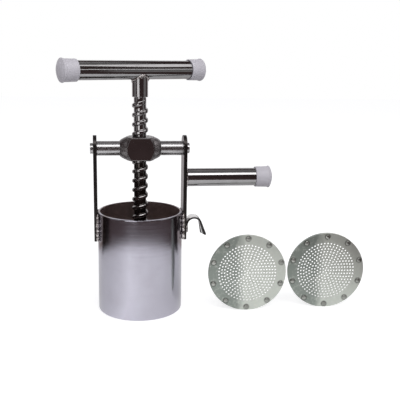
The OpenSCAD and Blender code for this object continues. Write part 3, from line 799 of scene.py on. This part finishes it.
ALONG_X = Matrix.Rotation(math.radians(90), 4, "Y")
on_handle = Matrix.Translation((0, 0, HANDLE_Z)) @ Matrix.Rotation(HANDLE_TURN, 4, "Z")
half_turn = Matrix.Rotation(math.pi, 4, "Z")
LEFT_END, RIGHT_END, SIDE_END, SIDE_Z = -117 * MM, 101 * MM, 187.6 * MM, 188.5 * MM
moulded_cap("moulded_left_cap", "top_handle_left_cap",
            on_handle @ Matrix.Translation((LEFT_END, 0, 0)) @ half_turn @ ALONG_X)
moulded_cap("moulded_right_cap", "top_handle_right_cap",
            on_handle @ Matrix.Translation((RIGHT_END, 0, 0)) @ ALONG_X)
moulded_cap("moulded_side_cap", "side_handle_cap", Matrix.Translation((SIDE_END, 0, SIDE_Z)) @ ALONG_X)

# %% [markdown]
# The uprights have the right shape already, but their edges are as sharp as only CAD can make them. A
# copy of each mesh gets its edges broken with a bevel, so they catch a line of light. The uprights were
# sheared from flat bar, so their narrow sides are rough and dark.


# %% Eased uprights
def eased_copy(node, width, kept_within=0.0, reshape=None):
    """A copy of a CAD piece with its sharp edges broken, apart from those close to the Z axis."""
    made = bmesh.new()
    made.from_mesh(frame["nodes"][node].data)
    bmesh.ops.remove_doubles(made, verts=made.verts, dist=1e-6)
    if reshape:
        reshape(made)
    bmesh.ops.dissolve_limit(made, angle_limit=math.radians(0.5), verts=made.verts, edges=made.edges)
    sharp = [e for e in made.edges if len(e.link_faces) == 2 and e.calc_face_angle() > math.radians(24)
             and all(v.co.xy.length > kept_within for v in e.verts)]
    bmesh.ops.bevel(made, geom=sharp, offset=width, segments=2, profile=0.6, affect="EDGES",
                    clamp_overlap=False)
    return made


def darken_edges(piece, flat_axes):
    """Gives the sheared finish to the faces that don't look along the axes of the flat side."""
    piece.data.materials.append(edge_steel)
    for face in piece.data.polygons:
        face.material_index = int(sum(face.normal[i] ** 2 for i in flat_axes) < 0.7)


for side in ("left", "right"):
    made = eased_copy(f"{side}_upright", 0.5 * MM)
    upright = take_place(f"eased_{side}_upright", made, f"{side}_upright", upright_steel, sharp=20)
    darken_edges(upright, (0,))

# %% [markdown]
# The crossbar's edges are broken in the same way, apart from those inside its thread. The slopes at the
# ends of its block are a little full, as turned shoulders are: rings are cut into the CAD's slopes and
# pushed outward. The arms were turned bright on a lathe. The top of the block and the slopes were left
# dull, and the block's other flats are polished.

# %% Eased crossbar
BLOCK_HALF, FLAT_HALF, BLOCK_R, ARM_R = 28 * MM, 18.5 * MM, 16 * MM, 10 * MM
CROSSBAR_Z = sum(corner[2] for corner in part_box("crossbar")) / 2
THREAD_REACH, SLOPE_SWELL = 13 * MM, 0.4


def swell_slopes(made):
    """Cuts rings into the slopes at the block's ends, and swells them into a round shoulder."""
    reach = BLOCK_HALF - FLAT_HALF
    for turn in range(6, 90, 6):
        for end in (-1, 1):
            x = end * (FLAT_HALF + reach * math.sin(math.radians(turn)))
            everything = [*made.verts, *made.edges, *made.faces]
            bmesh.ops.bisect_plane(made, geom=everything, plane_co=(x, 0, 0), plane_no=(1, 0, 0))
    middle = Vector((0, 0, CROSSBAR_Z))
    for v in made.verts:
        share = (abs(v.co.x) - FLAT_HALF) / reach
        if 0.0 < share < 1.0:
            fullness = (1 - SLOPE_SWELL) * (1 - share) + SLOPE_SWELL * math.sqrt(1 - share ** 2)
            swollen = (v.co - middle).yz.normalized() * (ARM_R + (BLOCK_R - ARM_R) * fullness)
            v.co.y, v.co.z = swollen.x, CROSSBAR_Z + swollen.y


crossbar_made = eased_copy("crossbar", 0.3 * MM, THREAD_REACH, swell_slopes)
crossbar = take_place("eased_crossbar", crossbar_made, "crossbar", block_steel, sharp=12)
crossbar.data.materials.append(turned_steel)
crossbar.data.materials.append(slope_steel)
for face in crossbar.data.polygons:
    if abs(face.center.x) > BLOCK_HALF:
        face.material_index = 1
    elif abs(face.center.x) > FLAT_HALF or abs(face.normal.x) > 0.05 or face.normal.z > 0.7:
        face.material_index = 2

# %% [markdown]
# The pan hook is a strip bent by hand. Sweeping a rounded section along its path gives the bend, and
# the free leg twists by a few degrees, as bent strips do.


# %% Sweep helper
def sweep(made, stations, section):
    """Carries a section along stations of (centre, across, up), and closes both ends."""
    rings = [[made.verts.new(centre + across * a + up * b) for a, b in section]
             for centre, across, up in stations]
    join_rings(made, rings)
    made.faces.new(rings[0])
    made.faces.new(rings[-1])


def rounded_section(width, thickness, corner, steps=4):
    """Points round a flat section with round corners."""
    points = []
    for quarter, (sx, sy) in enumerate(((1, 1), (-1, 1), (-1, -1), (1, -1))):
        for i in range(steps + 1):
            a = math.radians(90 * quarter + 90 * i / steps)
            points.append((sx * (width / 2 - corner) + corner * math.cos(a),
                           sy * (thickness / 2 - corner) + corner * math.sin(a)))
    return points


print("Strip section points:", len(rounded_section(20, 2.5, 0.7)))

# %% Pan hook
HOOK_X, HOOK_Z, HOOK_R, HOOK_T, HOOK_W = 75.6 * MM, 121.5 * MM, 9 * MM, 2.5 * MM, 20 * MM
HOOK_LEG, HOOK_TIP, HOOK_LEAN, HOOK_TWIST = 10.5 * MM, 18.5 * MM, 15, 13


def hook_station(turn, beyond=0.0, twist=0.0):
    """A station of the strip: its place round the arch in degrees, then a way along the free leg."""
    a, t = math.radians(turn), math.radians(twist)
    out = Vector((math.cos(a), 0, math.sin(a)))
    ahead = Vector((math.sin(a), 0, -math.cos(a)))
    centre = Vector((HOOK_X, 0, HOOK_Z)) + out * (HOOK_R + HOOK_T / 2) + ahead * beyond
    side = Vector((0, 1, 0))
    return centre, side * math.cos(t) - out * math.sin(t), out * math.cos(t) + side * math.sin(t)


hook_made = bmesh.new()
straight_leg = [hook_station(180, HOOK_LEG * (i / 4 - 1)) for i in range(4)]
arch = [hook_station(180 - (180 - HOOK_LEAN) * i / 28) for i in range(29)]
free_leg = [hook_station(HOOK_LEAN, HOOK_TIP * i / 8, HOOK_TWIST * i / 8) for i in range(1, 9)]
sweep(hook_made, straight_leg + arch + free_leg, rounded_section(HOOK_W, HOOK_T, 0.7 * MM))
hook = take_place("bent_pan_hook", hook_made, "pan_hook", hook_steel)
darken_edges(hook, (0, 2))

# %% [markdown]
# A hand-laid weld bead is a row of overlapping scales, each with a curved front edge, and no two are
# alike. The bead is a round section carried along the joint. Its radius swells with each scale, the
# front of a scale lags at the sides, and smooth noise makes the bead uneven.


# %% Weld bead helper
def weld_bead(made, stations, radius, pitch, seed, closed=False):
    """A rippled bead along stations of (centre, across, up) that lie evenly along the joint."""
    sides = 18
    gaps = [(b[0] - a[0]).length for a, b in zip(stations, stations[1:])]
    length = sum(gaps) + (gaps[-1] if closed else 0.0)
    scales = max(1, round(length / pitch))
    rings = []
    for i, (centre, across, up) in enumerate(stations):
        ring = []
        done = i / (len(stations) if closed else len(stations) - 1)
        for j in range(sides):
            a = 2 * math.pi * j / sides
            phase = (scales * done - 0.22 * abs(math.sin(a))) % 1.0
            ripple = 0.07 * (math.sin(math.pi * phase ** 0.6) - 0.5)
            aim = across * math.cos(a) + up * math.sin(a)
            spot = (centre + aim * radius) / (4.5 * MM) + Vector((seed, 0, 0))
            lump = noise.noise(spot) + 0.4 * noise.noise(2.3 * spot)
            taper = 1.0 if closed else min(1.0, 0.45 + 5 * min(done, 1 - done))
            ring.append(made.verts.new(centre + aim * radius * taper * (1 + ripple + 0.24 * lump)))
        rings.append(ring)
    join_rings(made, rings + rings[:1] if closed else rings)
    if not closed:
        made.faces.new(rings[0])
        made.faces.new(rings[-1])


def upright_stations(x, y, low, high):
    """Stations for a bead that stands between two heights."""
    count = round((high - low) / (0.45 * MM))
    return [(Vector((x, y, low + (high - low) * i / count)), Vector((1, 0, 0)), Vector((0, -1, 0)))
            for i in range(count + 1)]


print("Weld helper ready")

# %% [markdown]
# Two beads hold each upright to the barrel, two finer ones hold the hook. A bead runs round the foot of
# the side handle, and one round the top of the screw, where it follows the curve of the tube above it.
# Small drops of spatter stick to the shank below that bead. Fixed steps of angle, depth and size
# scatter them.

# %% Welds on the uprights and the hook
BEAD_R, FINE_BEAD_R, BEAD_PITCH, FINE_PITCH = 2.6 * MM, 1.8 * MM, 6 * MM, 3.2 * MM
WELD_X, WELD_Y, WELD_LOW, WELD_HIGH = 59.4 * MM, 15 * MM, 102.5 * MM, 141 * MM
HOOK_WELD_X, HOOK_WELD_Y, HOOK_WELD_LOW, HOOK_WELD_HIGH = 64.95 * MM, 10 * MM, 111.4 * MM, 121.2 * MM
for seed, (side, sign) in enumerate((("left", -1), ("right", 1))):
    made = bmesh.new()
    for y in (-WELD_Y, WELD_Y):
        stations = upright_stations(sign * WELD_X, y, WELD_LOW, WELD_HIGH)
        weld_bead(made, stations, BEAD_R, BEAD_PITCH, 7.3 * seed + y / MM)
    take_place(f"laid_{side}_upright_welds", made, f"{side}_upright_welds", weld_steel, sharp=60)
hook_weld_made = bmesh.new()
for y in (-HOOK_WELD_Y, HOOK_WELD_Y):
    stations = upright_stations(HOOK_WELD_X, y, HOOK_WELD_LOW, HOOK_WELD_HIGH)
    weld_bead(hook_weld_made, stations, FINE_BEAD_R, FINE_PITCH, 40 + y / MM)
take_place("laid_pan_hook_welds", hook_weld_made, "pan_hook_welds", weld_steel, sharp=60)

# %% Welds round the handles' feet
SIDE_WELD_X, ROUND_PITCH, SPATTERS = 64.1 * MM, 3.6 * MM, 26


def turned_stations(count, place):
    """Stations round a circle; place gives the centre and the two directions for an angle."""
    return [place(2 * math.pi * i / count) for i in range(count)]


def round_side_handle(a):
    out = Vector((0, math.cos(a), math.sin(a)))
    return Vector((SIDE_WELD_X, 0, SIDE_Z)) + out * TUBE_R, out, Vector((-1, 0, 0))


def round_shank(a):
    out = Vector((math.cos(a), math.sin(a), 0))
    return out * CREST_R + Vector((0, 0, saddle(CREST_R)(a))), out, Vector((0, 0, 1))


side_weld_made = bmesh.new()
weld_bead(side_weld_made, turned_stations(160, round_side_handle), FINE_BEAD_R, ROUND_PITCH, 80, True)
take_place("laid_side_handle_weld", side_weld_made, "side_handle_weld", weld_steel, sharp=60)
top_weld_made = bmesh.new()
weld_bead(top_weld_made, turned_stations(150, round_shank), FINE_BEAD_R, ROUND_PITCH, 90, True)
for i in range(SPATTERS):
    a = 2.4 * i
    drop = (2 + 3.5 * (0.62 * i % 1)) * MM
    size = (0.5 + 0.4 * (0.38 * i % 1)) * MM
    spot = Matrix.Translation((CREST_R * math.cos(a), CREST_R * math.sin(a), saddle(CREST_R)(a) - drop))
    bmesh.ops.create_icosphere(top_weld_made, subdivisions=2, radius=size, matrix=spot)
take_place("laid_top_handle_weld", top_weld_made, "top_handle_weld", weld_steel, sharp=60)

# %% [markdown]
# There are three dies: one in the barrel and two that stand on edge beside it. Each is a perforated
# sheet on a ring, held by ten rivets. Their sheets and rings are copies of the CAD meshes, moved into
# the die's own frame so that the finish finds its rivets, with the outer edge broken.

# %% Dies
DIE_R, SEAT_Z, LOOSE_Y = 55.5 * MM, 5 * MM, -28 * MM
stand_up = Matrix.Rotation(math.radians(-4), 4, "Z") @ Matrix.Rotation(math.radians(90), 4, "X")
die_places = {
    "die": Matrix.Translation((0, 0, SEAT_Z)),
    "near_loose_die": Matrix.Translation((150 * MM, LOOSE_Y, DIE_R)) @ stand_up,
    "far_loose_die": Matrix.Translation((266 * MM, LOOSE_Y, DIE_R)) @ stand_up,
}


def die_copy(node, place):
    """A copy of a die's piece in the die's own frame, with its outer edges broken."""
    made = bmesh.new()
    made.from_mesh(frame["nodes"][node].data)
    bmesh.ops.transform(made, matrix=place.inverted(), verts=made.verts)
    bmesh.ops.remove_doubles(made, verts=made.verts, dist=1e-6)
    rim = [e for e in made.edges if len(e.link_faces) == 2 and e.calc_face_angle() > math.radians(60)
           and all(v.co.xy.length > DIE_R - 0.1 * MM for v in e.verts)]
    bmesh.ops.bevel(made, geom=rim, offset=EDGE_BREAK, segments=2, profile=0.5, affect="EDGES",
                    clamp_overlap=False)
    return made


for name, place in die_places.items():
    plate, ring = f"{name}_plate", f"{name}_ring"
    take_place(f"punched_{name}_sheet", die_copy(plate, place), plate, die_steel, place, 20)
    take_place(f"turned_{name}_ring", die_copy(ring, place), ring, die_steel, place, 20)

# %% [markdown]
# A rivet's round head is struck with a hammer, so each sits a little crooked and a little flat. The
# outline is turned once for each rivet, squashed by a small amount of its own, and set at its place on
# the circle.

# %% Rivets
RIVET_OUTLINE = [(0, 0.06), (2.5, 0.06), (3.1, 0.12), (1.6, 1.6), (1.6, 5.5), (2.95, 5.5), (3.18, 5.72),
                 (3.1, 6.05), (2.75, 6.36), (2.2, 6.58), (1.4, 6.7), (0.6, 6.74), (0, 6.74)]
HEAD_FOOT, DENT_DEPTH = 5.6 * MM, 0.22 * MM


def struck_rivets(name, seed):
    """Ten rivets in a die's own frame."""
    made = bmesh.new()
    for i in range(RIVETS):
        one = bmesh.new()
        lathe(one, [(r * MM, z * MM) for r, z in RIVET_OUTLINE], 28)
        a = 2 * math.pi * (i + 0.5) / RIVETS
        for v in one.verts:
            if v.co.z > HEAD_FOOT:
                dent = noise.noise(v.co / (1.5 * MM) + Vector((seed, 3.7 * i, 0)))
                v.co.z -= DENT_DEPTH * max(0.0, dent)
                v.co.x *= 1 - 0.05 * abs(math.sin(5.1 * i + seed))
        onto_circle = Matrix.Rotation(a, 4, "Z") @ Matrix.Translation((RIVET_CIRCLE, 0, 0))
        bmesh.ops.transform(one, matrix=onto_circle, verts=one.verts)
        copied = bpy.data.meshes.new("one_rivet")
        one.to_mesh(copied)
        one.free()
        made.from_mesh(copied)
        bpy.data.meshes.remove(copied)
    place = die_places[name]
    return take_place(f"struck_{name}_rivets", made, f"{name}_rivets", rivet_steel, place, sharp=45)


for seed, name in enumerate(die_places):
    struck_rivets(name, 11 * seed)
